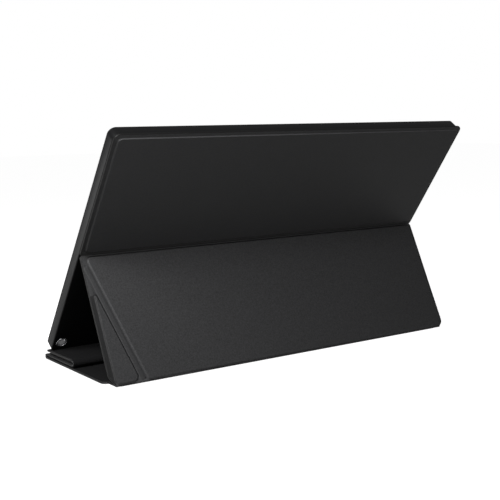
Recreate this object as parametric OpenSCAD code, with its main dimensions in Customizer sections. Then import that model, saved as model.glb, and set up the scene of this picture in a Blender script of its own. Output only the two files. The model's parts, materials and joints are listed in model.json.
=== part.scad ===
// Portable monitor with a folding leather cover that doubles as its stand.
// The screen faces -Y and leans back. The ground is z = 0. The plane y = 0 stands under
// the front bottom edge of the monitor, and x = 0 is the middle of its width.

/* [Screen] */
// Width of the picture area
screen_w = 344.2; // [300:0.1:360]
// Height of the picture area
screen_h = 193.6; // [180:0.1:210]
// Bezel width above the picture area
top_border = 9; // [8:0.1:12]
// Bezel width beside the picture area
side_border = 7.75; // [7:0.05:12]
// Height of the chin below the picture area
chin = 23.8; // [22.5:0.1:28]
// How far the panel reaches past the picture area on each side
panel_rim = 2.6; // [2:0.1:3]
// How far the panel reaches past the picture area at the bottom
panel_foot = 6; // [5:0.1:7]
// Thickness of the panel's glass
panel_t = 1.1; // [0.8:0.1:1.2]
// Thickness of the diffuser sheets
diffuser_t = 0.4; // [0.3:0.1:0.5]
// Thickness of the light guide
guide_t = 1.2; // [1:0.1:1.4]
// Thickness of the panel's metal back frame
frame_t = 0.4; // [0.3:0.1:0.5]

/* [Monitor] */
// Thickness of the monitor
monitor_t = 10; // [9.4:0.1:12]
// Radius of the monitor's four corners
corner_r = 4; // [3:0.1:6]
// Rounding along the back edges of the housing
edge_r = 1.5; // [1:0.1:2]
// Thickness of the housing's side walls
wall_t = 1.6; // [1.2:0.1:2]
// Thickness of the housing's back plate
plate_t = 1.4; // [1:0.1:1.6]
// Thickness of the front bezel
bezel_t = 1.4; // [1:0.1:1.6]
// Clearance between neighbouring parts inside the housing
inner_gap = 0.1; // [0.05:0.05:0.2]

/* [Pen hole] */
// Bore of the hole that takes a pen
pen_hole_d = 8.4; // [7:0.1:9]
// Wall of the chrome sleeve in the hole
ring_wall = 0.5; // [0.4:0.1:0.8]
// Diameter of the sleeve's flange on the back
ring_flange_d = 10.5; // [10.4:0.1:12]
// Thickness of the sleeve's flange
ring_flange_t = 0.6; // [0.4:0.1:0.8]
// From the middle of the hole to the side of the monitor
pen_hole_side = 8.35; // [8:0.05:12]
// From the middle of the hole to the bottom of the monitor
pen_hole_up = 8.5; // [8:0.1:11]

/* [Controls] */
// Diameter of the power and menu buttons
button_d = 6; // [4:0.1:7]
// Travel of the buttons
button_travel = 0.4; // [0.2:0.1:0.5]
// Gap round a button
button_gap = 0.15; // [0.1:0.05:0.3]
// How far a button stands proud of the bezel
button_proud = 0.3; // [0.1:0.1:0.5]
// From the left side of the screen to the power button
power_in = 20; // [16:0.5:40]
// Distance between the two buttons
button_pitch = 13; // [11:0.5:20]
// Height of the buttons above the bottom edge
button_up = 10.5; // [9:0.5:12]
// Diameter of the status light
led_d = 1.6; // [1.2:0.1:2.4]

/* [Socket and boards] */
// Width of the socket's shell
socket_w = 8.94; // [8.9:0.01:9.1]
// Height of the socket's shell
socket_h = 3.16; // [3.1:0.01:3.2]
// Length of the socket's shell
socket_len = 7.4; // [6.5:0.1:9]
// Height of the socket above the bottom edge
socket_up = 42; // [36:0.5:60]
// Thickness of the circuit boards
pcb_t = 1; // [0.8:0.1:1]
// Length of the main board
main_board_w = 96; // [90:1:120]
// Height of the main board
main_board_h = 58; // [54:1:70]
// Side of the square shield over the main chips
shield_w = 32; // [26:1:34]
// Side of the largest chip
chip_w = 14; // [8:1:16]
// Length of the panel's driver board
driver_w = 250; // [200:1:260]
// Height of the panel's driver board
driver_h = 11; // [9:0.5:12]

/* [Stand] */
// How far the monitor leans back from upright, in degrees
tilt = 35.7; // [32:0.1:38]
// How far the rear leg leans from upright, in degrees
lean = 25.7; // [22:0.1:29]
// Height of the crease above the monitor's bottom edge, along the back
crease_s = 110.2; // [104:0.1:116]
// Clearance under the monitor's bottom edge
rest_gap = 0.15; // [0.1:0.05:0.3]
// Clearance between the folded leg and the monitor's back
seat_gap = 0.2; // [0.1:0.05:0.3]

/* [Cover] */
// Thickness of the leather skin
skin_t = 1; // [0.8:0.05:1.1]
// Thickness of the inner lining
lining_t = 0.9; // [0.7:0.05:1]
// Thickness of the stiffening boards
board_t = 1; // [0.8:0.05:1.2]
// How far the cover reaches past each side of the monitor
overhang = 0.1; // [0:0.05:2]
// How far the cover reaches past the top of the monitor
top_overhang = 1.5; // [1:0.1:3]
// Width of the flat hem round the boards
hem_w = 4; // [3:0.1:6]
// Hem beside the flaps' boards
flap_hem = 5.3; // [4:0.1:7]
// Soft step from the hem up to the board
shoulder = 0.7; // [0.4:0.05:0.75]
// Corner radius of the cover
cover_r = 5; // [3:0.1:7]
// Corner radius of the boards
board_r = 3; // [2:0.1:4]
// Clearance between neighbouring panels at a fold
fold_gap = 0.15; // [0.1:0.05:0.25]

/* [Folds] */
// From the crease up to the upper board
upper_channel = 4.3; // [3.5:0.1:6]
// From the crease down to the leg's board
leg_channel = 2.1; // [1.8:0.1:4]
// From the end of a panel to its board, at the foot and the floor folds
fold_hem = 0.8; // [0.8:0.1:2]
// The same on the panels that lie level or fold back on each other
fold_channel = 2; // [1:0.1:3]
// Width of the corner flaps at the foot
flap_w = 29.4; // [24:0.1:36]
// Half the width of the channel along the diagonal fold
diagonal_half = 4.1; // [3:0.1:5]
// Slack in the spine that wraps the monitor's bottom edge
spine_slack = 0.8; // [0.4:0.1:1.5]
// How much narrower the cover is at the end of the spine, on each side
spine_inset = 6; // [4:0.1:8]
// From the front fold to the monitor's front bottom edge
front_reach = 2.45; // [1:0.05:4]
// Length of the middle panel
middle_len = 53.25; // [48:0.05:60]
// From the front fold back to the tip of the top panel
tip_setback = 1.45; // [1:0.05:8]
// Corner radius of the top panel's tip
tip_r = 1.5; // [1:0.1:6]
// Clearance between two panels folded flat on each other
stack_gap = 0.8; // [0.1:0.05:1]
// Slot between the middle panel and the top panel, under the monitor
slot_h = 0.4; // [0.3:0.05:2.2]
// Rise of the top panel towards the back, in degrees
top_slope = 0.7; // [0.4:0.1:2.4]

/* [Hidden] */
$fn = 48;
eps = 0.01;

// leather colours
leather = [0.13, 0.13, 0.14];
suede = [0.2, 0.2, 0.21];
greyboard = [0.45, 0.42, 0.38];

// the housing's outer size follows from the screen and its borders
monitor_w = screen_w + 2 * side_border;
monitor_h = screen_h + top_border + chin;

// cover: thickness of its hem and of a panel with its board
hem_t = skin_t + lining_t;
cover_t = hem_t + board_t;
board_back = lining_t + board_t;
cover_w = monitor_w + 2 * overhang;
half_w = cover_w / 2;

// height of the top panel where the monitor's back bottom edge rests on it
contact_z = 3 * cover_t + stack_gap + slot_h;
contact_y = monitor_t * cos(tilt);
lift_z = contact_z + rest_gap + monitor_t * sin(tilt);

// the crease: pivot line on the outer face of the hem
crease_t = monitor_t + hem_t + seat_gap;
crease_y = crease_s * sin(tilt) + crease_t * cos(tilt);
crease_z = lift_z + crease_s * cos(tilt) - crease_t * sin(tilt);

// the leg runs from the crease to its foot corner
leg_len = (crease_z - board_t) / cos(lean);
foot_y = crease_y + leg_len * sin(lean);
// the leather bends at the foot round the inner face of the skin
foot_turn = 90 + lean;
foot_cut = leg_len - skin_t * tan(foot_turn / 2);
spine_y = crease_y - skin_t * cos(lean) + foot_cut * sin(lean);
spine_z = board_t + skin_t;
foot_knee = [spine_y + skin_t * cos(lean), spine_z + skin_t * sin(lean)];
// at the foot the linings stand back so that they don't meet
lining_back = lining_t * tan(foot_turn / 2) + 2 * fold_gap;

// the spine, as wide as the monitor is thick when the cover wraps it
spine_w = monitor_t + 2 * lining_t + spine_slack;
floor_y = spine_y - spine_w;
front_y = -front_reach;
floor_len = floor_y - front_y;
floor_mid_z = cover_t + stack_gap / 2;

// the rear fold, where the cover turns back in a loop
rear_y = front_y + middle_len;
middle_top_z = cover_t + stack_gap + hem_t;
top_rear_z = contact_z + (rear_y - contact_y) * tan(top_slope);
loop_in = (top_rear_z - hem_t / cos(top_slope) - middle_top_z) / 2;
loop_z = middle_top_z + loop_in;
loop_out = loop_in + hem_t;
top_len = middle_len - tip_setback;

// depths inside the monitor, measured back from its front face
panel_z = bezel_t + inner_gap;
diffuser_z = panel_z + panel_t;
guide_z = diffuser_z + diffuser_t;
frame_z = guide_z + guide_t;
frame_back = frame_z + frame_t;
film_gap = 0.6;
lamp_room = 3.4;
plate_z = monitor_t - plate_t;
screen_up = chin;
panel_w = screen_w + 2 * panel_rim;
panel_up = screen_up - panel_foot;
panel_h = screen_h + panel_foot + panel_rim;
ring_r = pen_hole_d / 2 + ring_wall;
socket_z = plate_z - inner_gap - socket_h / 2;
board_z = plate_z - 0.4 - pcb_t;
driver_back = frame_back + pcb_t;
driver_up = panel_up + 1;
driver_top = driver_up + driver_h;
driver_pitch = driver_w / 8;
driver_chip = 5;
driver_chip_h = 3.5;
main_x = -monitor_w / 2 + wall_t + 1.4;
main_y = driver_top + 2;
socket_x = -monitor_w / 2 + 0.4;
tongue_w = 6.6;
tongue_t = 0.7;
chip_t = 0.8;
small_chip = 5;
chip_pitch = 7.5;
chip_inset = 7;
shield_t = 0.3;
shield_h = 1.2;
shield_x = main_x + 18;
shield_y = main_y + 18;
chips_x = shield_x + shield_w + 6;
cable_w = 10;
cable_t = 0.3;
cable_end = 4;
lamp_pitch = 7;
lamp_w = 3;
lamp_count = floor((panel_w / 2 - lamp_w) / lamp_pitch);
bar_h = 0.6;
power_x = -monitor_w / 2 + power_in;
menu_x = power_x + button_pitch;
led_x = menu_x + button_pitch * 0.8;
hole_x = monitor_w / 2 - pen_hole_side;
switch_board_z = plate_z - 1.9 - pcb_t;
switch_board_h = 11;
switch_w = 3.6;
button_flange_t = 0.6;
button_flange = 0.8;
stem_d = 2;
stem_end = bezel_t + inner_gap + button_flange_t + 1;
dish_r = 15;
dish_depth = 0.15;

// ---- places ----

// a point x, y on the front of the monitor, with -z into its thickness
module in_monitor() translate([0, 0, lift_z]) rotate([90 - tilt, 0, 0]) children();

// cover panels are drawn with their inner face at z = 0 and their outer face at -cover_t
module on_back() in_monitor() translate([0, 0, -monitor_t]) children();

// the leg's own frame: y = 0 at the crease and -y towards the foot
module in_leg() translate([0, crease_y, crease_z]) rotate([90 + lean, 0, 0])
    translate([0, 0, hem_t]) children();

module on_floor() translate([0, 0, cover_t]) children();

// the middle panel lies upside down on the floor panel: -y runs to the back
module in_middle() translate([0, front_y, cover_t + stack_gap]) rotate([180, 0, 0])
    children();

// the top panel: y = 0 at the rear fold and -y towards its tip
module in_top() translate([0, rear_y, top_rear_z]) rotate([top_slope, 0, 0]) children();

// a profile drawn in y and z, drawn out along x
module along_x(w) rotate([90, 0, 90]) linear_extrude(w, center = true) children();

// ---- outlines ----

function rect_pts(x0, y0, x1, y1) = [[x0, y0], [x1, y0], [x1, y1], [x0, y1]];

function unit(v) = v / norm(v);

// an arc of radius r that rounds corner p of an anticlockwise outline, between a and b
function corner_arc(a, p, b, r, steps) =
    let (u = unit(a - p), v = unit(b - p),
        half = acos(u * v) / 2,
        c = p + unit(u + v) * r / sin(half),
        start = p + u * r / tan(half) - c,
        a0 = atan2(start[1], start[0]))
    [for (i = [0:steps]) c + r * [cos(a0 + (180 - 2 * half) * i / steps),
        sin(a0 + (180 - 2 * half) * i / steps)]];

// the outline pts with each corner rounded by its own radius
function rounded(pts, radii, steps = 6) =
    let (n = len(pts))
    [for (i = [0:n - 1]) each corner_arc(pts[(i + n - 1) % n], pts[i], pts[(i + 1) % n],
        radii[i], steps)];

// x of the diagonal fold, at a distance s from the foot, on a panel of length len
function diagonal_x(s, len) = half_w - flap_w * (1 - s / len);

// ---- cover panels ----

module plate(pts, z0, z1) translate([0, 0, z0]) linear_extrude(z1 - z0) polygon(pts);

// leather over a board: a flat hem, and a soft shoulder up to the raised board, with the
// board's pocket on its inside
module skin(outline, board) color(leather) difference() {
    union() {
        plate(outline, -hem_t, -lining_t);
        hull() {
            translate([0, 0, -hem_t - eps]) linear_extrude(eps) offset(shoulder)
                polygon(board);
            translate([0, 0, -hem_t - board_t * 0.6]) linear_extrude(eps)
                offset(shoulder * 0.7) polygon(board);
            translate([0, 0, -cover_t]) linear_extrude(eps) polygon(board);
        }
    }
    plate(board, -board_back, -lining_t + 1);
}

module stiffener(board) color(greyboard) plate(board, -board_back, -lining_t);

module lining(outline) color(suede) plate(outline, -lining_t, 0);

// magnets: flat bars in a board, as thick as the board
module bars(spots, w, h, extra = 0) for (p = spots)
    translate([p[0] - w / 2, p[1] - h / 2, -board_back - extra]) cube([w, h, board_t + 2 * extra]);

// ---- outlines of the panels ----

upper_top = monitor_h + top_overhang;
upper_pts = rounded(rect_pts(-half_w, crease_s + fold_gap, half_w, upper_top),
    [2, 2, cover_r, cover_r]);
upper_board_pts = rounded(rect_pts(-half_w + hem_w, crease_s + upper_channel,
    half_w - hem_w, upper_top - hem_w), [board_r, board_r, board_r, board_r]);

// the leg's main part stops at the diagonal fold
leg_low = -foot_cut + fold_gap;
leg_lining_low = -foot_cut + lining_back;
leg_board_low = leg_low + fold_hem;
function leg_diagonal(y, shift) = [diagonal_x(y + leg_len, leg_len) + shift, y];
leg_pts = rounded([[-half_w, leg_low], leg_diagonal(leg_low, -fold_gap),
    leg_diagonal(-fold_gap, -fold_gap), [-half_w, -fold_gap]], [spine_inset, 0.5, 0.5, 2]);
leg_lining_pts = rounded([[-half_w, leg_lining_low], leg_diagonal(leg_lining_low, -fold_gap),
    leg_diagonal(-fold_gap, -fold_gap), [-half_w, -fold_gap]],
    [spine_inset - 2, 0.5, 0.5, 2]);
leg_board_pts = rounded([[-half_w + hem_w, leg_board_low],
    leg_diagonal(leg_board_low, -diagonal_half), leg_diagonal(-leg_channel, -diagonal_half),
    [-half_w + hem_w, -leg_channel]], [board_r, 1.5, board_r, board_r]);

// y at which the diagonal, moved by shift, meets a line at x
function leg_diagonal_y(x, shift) = (x - shift - half_w) * leg_len / flap_w;
flap_tip = leg_diagonal_y(half_w, fold_gap) - 1;
leg_flap_pts = rounded([leg_diagonal(leg_low, fold_gap), [half_w, leg_low],
    [half_w, flap_tip], leg_diagonal(flap_tip, fold_gap)], [0.5, spine_inset, 0.1, 0.1]);
leg_flap_lining_pts = rounded([leg_diagonal(leg_lining_low, fold_gap),
    [half_w, leg_lining_low], [half_w, flap_tip], leg_diagonal(flap_tip, fold_gap)],
    [0.5, spine_inset - 2, 0.1, 0.1]);
flap_board_x = half_w - flap_hem;
leg_flap_board_pts = rounded([leg_diagonal(leg_board_low, diagonal_half),
    [flap_board_x, leg_board_low],
    [flap_board_x, leg_diagonal_y(flap_board_x, diagonal_half)]], [4, board_r, 1]);

// the spine narrows towards the foot
spine_pts = rounded([[-half_w, floor_y + fold_gap], [half_w, floor_y + fold_gap],
    [half_w - spine_inset, spine_y - fold_gap], [-half_w + spine_inset, spine_y - fold_gap]],
    [0.5, 0.5, 2, 2]);
spine_lining_pts = rounded([[-half_w, floor_y + fold_gap], [half_w, floor_y + fold_gap],
    [half_w - spine_inset * 0.7, spine_y - lining_back],
    [-half_w + spine_inset * 0.7, spine_y - lining_back]], [0.5, 0.5, 2, 2]);
spine_board_pts = rounded(rect_pts(-half_w + spine_inset + hem_w,
    floor_y + fold_gap + fold_channel, half_w - spine_inset - hem_w,
    spine_y - fold_gap - fold_channel), [1, 1, 1, 1]);

// the floor panel has the mirror image of the leg's diagonal fold
floor_back = floor_y - fold_gap;
function floor_diagonal(y, shift) = [diagonal_x(floor_y - y, floor_len) + shift, y];
floor_pts = rounded([[-half_w, front_y], floor_diagonal(front_y, -fold_gap),
    floor_diagonal(floor_back, -fold_gap), [-half_w, floor_back]], [1, 0.4, 0.5, 0.5]);
floor_board_pts = rounded([[-half_w + hem_w, front_y + fold_channel],
    floor_diagonal(front_y + fold_channel, -diagonal_half),
    floor_diagonal(floor_back - fold_channel, -diagonal_half),
    [-half_w + hem_w, floor_back - fold_channel]], [board_r, board_r, 1.5, board_r]);
function floor_diagonal_y(x, shift) = floor_y - (1 - (half_w - x + shift) / flap_w) * floor_len;
floor_tip = floor_diagonal_y(half_w, fold_gap) + 1;
floor_flap_pts = rounded([floor_diagonal(floor_tip, fold_gap), [half_w, floor_tip],
    [half_w, floor_back], floor_diagonal(floor_back, fold_gap)], [0.1, 0.1, 1, 0.5]);
floor_flap_board_pts = rounded([[flap_board_x, floor_diagonal_y(flap_board_x, diagonal_half)],
    [flap_board_x, floor_back - fold_channel],
    floor_diagonal(floor_back - fold_channel, diagonal_half)], [1, board_r, 4]);

// middle and top panels, from their folds at y = 0 down to -length
middle_pts = rounded(rect_pts(-half_w, -middle_len, half_w, -fold_gap), [1, 1, 1, 1]);
middle_board_pts = rounded(rect_pts(-half_w + hem_w, -middle_len + fold_channel,
    half_w - hem_w, -fold_channel), [board_r, board_r, board_r, board_r]);
top_pts = rounded(rect_pts(-half_w, -top_len, half_w, -fold_gap), [tip_r, tip_r, 1, 1]);
top_board_pts = rounded(rect_pts(-half_w + hem_w, -top_len + hem_w, half_w - hem_w,
    -fold_channel), [board_r, board_r, board_r, board_r]);

// ---- magnets ----

upper_magnet_w = 50;
upper_magnet_h = 14;
upper_magnet_spots = [for (side = [-1, 0, 1], row = [0.3, 0.75])
    [side * screen_w * 0.36, crease_s + (upper_top - crease_s) * row]];
top_magnet_w = 30;
top_magnet_h = 6;
top_magnet_spots = [for (side = [-1, 1]) [side * screen_w * 0.4, -top_len + 2.5 * hem_w]];

// ---- the monitor ----

// sweeps a profile round the monitor's outline; x = corner_r is the outer face
module rim() {
    w = monitor_w - 2 * corner_r;
    h = monitor_h - 2 * corner_r;
    translate([0, monitor_h / 2, 0]) {
        for (side = [0, 1]) rotate([0, 0, 180 * side]) {
            translate([w / 2, 0, 0]) rotate([90, 0, 0]) linear_extrude(h, center = true)
                children();
            translate([0, h / 2, 0]) rotate([0, 0, 90]) rotate([90, 0, 0])
                linear_extrude(w, center = true) children();
            translate([w / 2, h / 2, 0]) rotate_extrude(angle = 90) children();
            translate([-w / 2, h / 2, 0]) rotate([0, 0, 90]) rotate_extrude(angle = 90)
                children();
        }
    }
}

// a bar from x0, y0 to x1, y1 that lies between two depths below the front face
module layer(x0, y0, x1, y1, z0, z1) translate([x0, y0, -z1]) cube([x1 - x0, y1 - y0, z1 - z0]);

// a cylinder between two depths below the front face
module post(x, y, d, z0, z1) translate([x, y, -z1]) cylinder(d = d, h = z1 - z0);

// screws that hold the panel's ears to posts in the chin below the screen
screw_spots = [-0.28, -0.09, 0.09, 0.28] * monitor_w;
screw_up = panel_up - frame_t - 3.2;
screw_d = 1.6;
screw_head_d = 3;
screw_head_t = 0.6;
screw_len = 3;
pad_inset = 8;

module rear_housing() color([0.25, 0.25, 0.26]) in_monitor() difference() {
    union() {
        rim() {
            translate([0, -monitor_t]) square([corner_r - edge_r, plate_t]);
            translate([corner_r - wall_t, -monitor_t + edge_r])
                square([wall_t, monitor_t - edge_r - bezel_t]);
            translate([corner_r - edge_r, -monitor_t + edge_r]) circle(edge_r);
        }
        layer(-monitor_w / 2 + corner_r, corner_r, monitor_w / 2 - corner_r,
            monitor_h - corner_r, plate_z, monitor_t);
        // sleeve round the pen hole
        post(hole_x, pen_hole_up, 2 * ring_r + 3, bezel_t + inner_gap, monitor_t - eps);
        // screw posts
        for (x = screw_spots) post(x, screw_up, 4.4, frame_back, monitor_t - eps);
        // pads under the boards
        for (dx = [pad_inset, main_board_w - pad_inset], dy = [pad_inset, main_board_h - pad_inset])
            post(main_x + dx, main_y + dy, 5, board_z + pcb_t, monitor_t - eps);
        for (x = [power_x - 4, led_x + 2]) post(x, button_up + 3, 3, switch_board_z + pcb_t,
            monitor_t - eps);
    }
    // pen hole, with a recess for the flange of its sleeve
    post(hole_x, pen_hole_up, 2 * ring_r + 0.1, 0, monitor_t + 1);
    post(hole_x, pen_hole_up, ring_flange_d + 0.1, monitor_t - ring_flange_t, monitor_t + 1);
    for (x = screw_spots) post(x, screw_up, screw_d, frame_back - 1, frame_back + screw_len);
    // window for the socket in the side wall
    translate([-monitor_w / 2 - 1, socket_up, -socket_z]) rotate([0, 90, 0])
        linear_extrude(corner_r) socket_shape(socket_w + 0.4, socket_h + 0.2);
}

module front_bezel() color([0.1, 0.1, 0.11]) in_monitor() difference() {
    union() {
        rim() {
            translate([0, -bezel_t]) square([corner_r - 0.5, bezel_t]);
            translate([0, -bezel_t]) square([corner_r, bezel_t - 0.5]);
            translate([corner_r - 0.5, -0.5]) circle(0.5);
        }
        layer(-monitor_w / 2 + corner_r, corner_r, monitor_w / 2 - corner_r,
            monitor_h - corner_r, 0, bezel_t);
    }
    layer(-screen_w / 2, screen_up, screen_w / 2, screen_up + screen_h, -1, bezel_t + 1);
    post(hole_x, pen_hole_up, 2 * ring_r + 0.1, -1, bezel_t + 1);
    for (x = [power_x, menu_x]) post(x, button_up, button_d + 2 * button_gap, -1, bezel_t + 1);
    post(led_x, button_up, led_d + 0.1, -1, bezel_t + 1);
}

module panel_layer(z0, z1, inset = 0) layer(-panel_w / 2 + inset, panel_up + inset,
    panel_w / 2 - inset, panel_up + panel_h - inset, z0, z1);

module screen_panel() color([0.03, 0.03, 0.04]) in_monitor() panel_layer(panel_z, diffuser_z);

module diffuser_sheets() color([0.9, 0.9, 0.9]) in_monitor()
    panel_layer(diffuser_z, guide_z, film_gap);

module light_guide() color([0.8, 0.9, 0.95]) in_monitor() difference() {
    panel_layer(guide_z, frame_z, film_gap);
    lamp_space(guide_z - 1, frame_z + 1);
}

// the strip along the foot of the panel where the lamps sit
module lamp_space(z0, z1) layer(-panel_w / 2, panel_up, panel_w / 2, panel_up + lamp_room,
    z0, z1);

module led_bar() color([0.95, 0.9, 0.7]) in_monitor() {
    layer(-panel_w / 2 + film_gap, panel_up + film_gap, panel_w / 2 - film_gap,
        panel_up + film_gap + bar_h, guide_z, frame_z);
    for (i = [-lamp_count:lamp_count]) layer(i * lamp_pitch - lamp_w / 2,
        panel_up + film_gap + bar_h, i * lamp_pitch + lamp_w / 2, panel_up + lamp_room - 1,
        guide_z + 0.2, frame_z - 0.2);
}

// a tray of folded steel sheet that holds the glass and its lighting
module panel_frame() color([0.7, 0.7, 0.72]) in_monitor() difference() {
    union() {
        layer(-panel_w / 2 - frame_t, panel_up - frame_t, panel_w / 2 + frame_t,
            panel_up + panel_h + frame_t, panel_z + 0.4, frame_back);
        for (x = screw_spots) layer(x - 3, screw_up - 3, x + 3, panel_up, frame_z, frame_back);
    }
    panel_layer(panel_z, frame_z);
    for (x = screw_spots) post(x, screw_up, screw_d + 0.1, frame_z - 1, frame_back + 1);
}

module panel_driver_board() color([0.05, 0.3, 0.12]) in_monitor() {
    layer(-driver_w / 2, driver_up, driver_w / 2, driver_top, frame_back, driver_back);
    for (i = [-3:3]) layer(i * driver_pitch - driver_chip, driver_up + 1,
        i * driver_pitch + driver_chip, driver_up + 1 + driver_chip_h, driver_back,
        driver_back + chip_t);
}

module main_board() color([0.05, 0.3, 0.12]) in_monitor() difference() {
    union() {
        layer(main_x, main_y, main_x + main_board_w, main_y + main_board_h, board_z,
            board_z + pcb_t);
        for (i = [0:3]) layer(chips_x + i * chip_pitch, main_y + chip_inset,
            chips_x + i * chip_pitch + small_chip, main_y + chip_inset + small_chip,
            board_z - chip_t, board_z);
        layer(chips_x, shield_y, chips_x + chip_w, shield_y + chip_w, board_z - chip_t, board_z);
    }
    // notch that takes the socket
    layer(main_x - 1, socket_up - socket_w / 2 - 0.2, socket_x + socket_len + 0.4,
        socket_up + socket_w / 2 + 0.2, 0, monitor_t);
}

module board_shield() color([0.75, 0.75, 0.76]) in_monitor() difference() {
    layer(shield_x, shield_y, shield_x + shield_w, shield_y + shield_w, board_z - shield_h,
        board_z);
    layer(shield_x + shield_t, shield_y + shield_t, shield_x + shield_w - shield_t,
        shield_y + shield_w - shield_t, board_z - shield_h + shield_t, board_z + 1);
}

// a round-ended steel shell with a tongue inside
module usb_c_socket() color([0.7, 0.7, 0.72]) in_monitor()
    translate([socket_x, socket_up, -socket_z]) rotate([0, 90, 0]) {
        difference() {
            linear_extrude(socket_len) socket_shape(socket_w, socket_h);
            translate([0, 0, -1]) linear_extrude(socket_len)
                socket_shape(socket_w - 0.6, socket_h - 0.6);
        }
        translate([-tongue_t / 2, -tongue_w / 2, 1]) cube([tongue_t, tongue_w, socket_len - 1.5]);
    }

module socket_shape(w, h) union() {
    translate([-h / 2, -w / 2 + h / 2]) square([h, w - h]);
    for (side = [-1, 1]) translate([0, side * (w - h) / 2]) circle(h / 2);
}

// ribbon that steps back from the driver board to the main board
module flat_cable() color([0.85, 0.85, 0.8]) in_monitor()
    translate([main_x + main_board_w - cable_w - 2, 0, 0]) rotate([90, 0, 90])
        linear_extrude(cable_w) polygon([
            [driver_top - cable_end, -driver_back - cable_t],
            [driver_top - cable_end, -driver_back], [driver_top + 1, -driver_back],
            [main_y + 1, -board_z + cable_t], [main_y + cable_end, -board_z + cable_t],
            [main_y + cable_end, -board_z], [main_y + 0.6, -board_z],
            [driver_top + 0.6, -driver_back - cable_t]]);

module button_board() color([0.05, 0.3, 0.12]) in_monitor() {
    layer(power_x - button_d, button_up - switch_board_h / 2, led_x + led_d + 2,
        button_up + switch_board_h / 2, switch_board_z, switch_board_z + pcb_t);
    for (x = [power_x, menu_x]) layer(x - switch_w / 2, button_up - switch_w / 2,
        x + switch_w / 2, button_up + switch_w / 2, stem_end + button_travel + inner_gap,
        switch_board_z);
}

module button_cap(x) color([0.16, 0.16, 0.17]) in_monitor() {
    difference() {
        post(x, button_up, button_d, -button_proud, bezel_t + inner_gap + button_travel);
        // shallow finger dish
        translate([x, button_up, button_proud + dish_r - dish_depth]) sphere(dish_r);
    }
    post(x, button_up, button_d + 2 * button_flange, bezel_t + inner_gap,
        bezel_t + inner_gap + button_flange_t);
    post(x, button_up, stem_d, bezel_t + inner_gap, stem_end);
}

module power_button() button_cap(power_x);

module menu_button() button_cap(menu_x);

module status_light() color([0.9, 0.95, 1]) in_monitor()
    post(led_x, button_up, led_d, 0, switch_board_z);

module pen_hole_ring() color([0.85, 0.85, 0.87]) in_monitor() difference() {
    union() {
        post(hole_x, pen_hole_up, 2 * ring_r, 0, monitor_t);
        post(hole_x, pen_hole_up, ring_flange_d, monitor_t - ring_flange_t, monitor_t);
    }
    post(hole_x, pen_hole_up, pen_hole_d, -1, monitor_t + 1);
}

module panel_screws() color([0.6, 0.6, 0.62]) in_monitor() for (x = screw_spots) {
    post(x, screw_up, screw_head_d, frame_z - screw_head_t, frame_z);
    post(x, screw_up, screw_d, frame_z - screw_head_t, frame_back + screw_len);
}

// steel plates behind the housing's back plate that the cover's magnets hold
module catch_plates() color([0.7, 0.7, 0.72]) in_monitor() for (p = upper_magnet_spots)
    layer(p[0] - upper_magnet_w / 2 - 3, p[1] - upper_magnet_h / 2 - 2,
        p[0] + upper_magnet_w / 2 + 3, p[1] + upper_magnet_h / 2 + 2, plate_z - 0.6, plate_z);

// ---- the upper panel, held flat on the monitor's back ----

module upper_skin() on_back() skin(upper_pts, upper_board_pts);

module upper_board() on_back() difference() {
    stiffener(upper_board_pts);
    bars(upper_magnet_spots, upper_magnet_w, upper_magnet_h, 1);
}

module upper_lining() on_back() lining(upper_pts);

module upper_magnets() color([0.7, 0.7, 0.72]) on_back()
    bars(upper_magnet_spots, upper_magnet_w, upper_magnet_h);

// the leather inside the crease, a wedge between the ends of the upper panel and the leg
module crease_strip() color(leather) translate([0, crease_y, crease_z])
    along_x(cover_w - 4) polygon([[0, 0], for (a = [180 - tilt : (tilt + lean) / 6 : 180 + lean + eps])
        hem_t * [cos(a), sin(a)]]);

// ---- the leg ----

module leg_skin() in_leg() skin(leg_pts, leg_board_pts);

module leg_board() in_leg() stiffener(leg_board_pts);

module leg_lining() in_leg() lining(leg_lining_pts);

module leg_flap_skin() in_leg() skin(leg_flap_pts, leg_flap_board_pts);

module leg_flap_board() in_leg() stiffener(leg_flap_board_pts);

module leg_flap_lining() in_leg() lining(leg_flap_lining_pts);

// the leather's bend at the foot: a kite between the skins of the leg and the spine
module foot_fold_strip() color(leather) along_x(cover_w - 2 * spine_inset - 2)
    polygon([[spine_y, spine_z], [spine_y, board_t],
        each corner_arc([spine_y, board_t], [foot_y, board_t], foot_knee, skin_t * 0.6, 6),
        foot_knee]);

// ---- the spine and the floor panel ----

module spine_skin() on_floor() skin(spine_pts, spine_board_pts);

module spine_board() on_floor() stiffener(spine_board_pts);

module spine_lining() on_floor() lining(spine_lining_pts);

module floor_skin() on_floor() skin(floor_pts, floor_board_pts);

module floor_board() on_floor() stiffener(floor_board_pts);

module floor_lining() on_floor() lining(floor_pts);

module floor_flap_skin() on_floor() skin(floor_flap_pts, floor_flap_board_pts);

module floor_flap_board() on_floor() stiffener(floor_flap_board_pts);

module floor_flap_lining() on_floor() lining(floor_flap_pts);

// the leather's half turn at the front, round the edges of two panels
module front_fold_strip() color(leather) translate([0, front_y, floor_mid_z])
    along_x(cover_w - 2 * fold_hem) difference() {
        circle(hem_t + stack_gap / 2);
        translate([0, -10]) square(20);
    }

// ---- the middle panel, the rear loop and the top panel ----

module middle_skin() in_middle() skin(middle_pts, middle_board_pts);

module middle_board() in_middle() stiffener(middle_board_pts);

module middle_lining() in_middle() lining(middle_pts);

module rear_fold_strip() color(leather) translate([0, rear_y, loop_z])
    along_x(cover_w) difference() {
        circle(loop_out);
        circle(loop_in);
        translate([-20, -10]) square([20, 20]);
    }

module top_skin() in_top() skin(top_pts, top_board_pts);

module top_board() in_top() difference() {
    stiffener(top_board_pts);
    bars(top_magnet_spots, top_magnet_w, top_magnet_h, 1);
}

module top_lining() in_top() lining(top_pts);

module top_magnets() color([0.7, 0.7, 0.72]) in_top()
    bars(top_magnet_spots, top_magnet_w, top_magnet_h);

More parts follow.
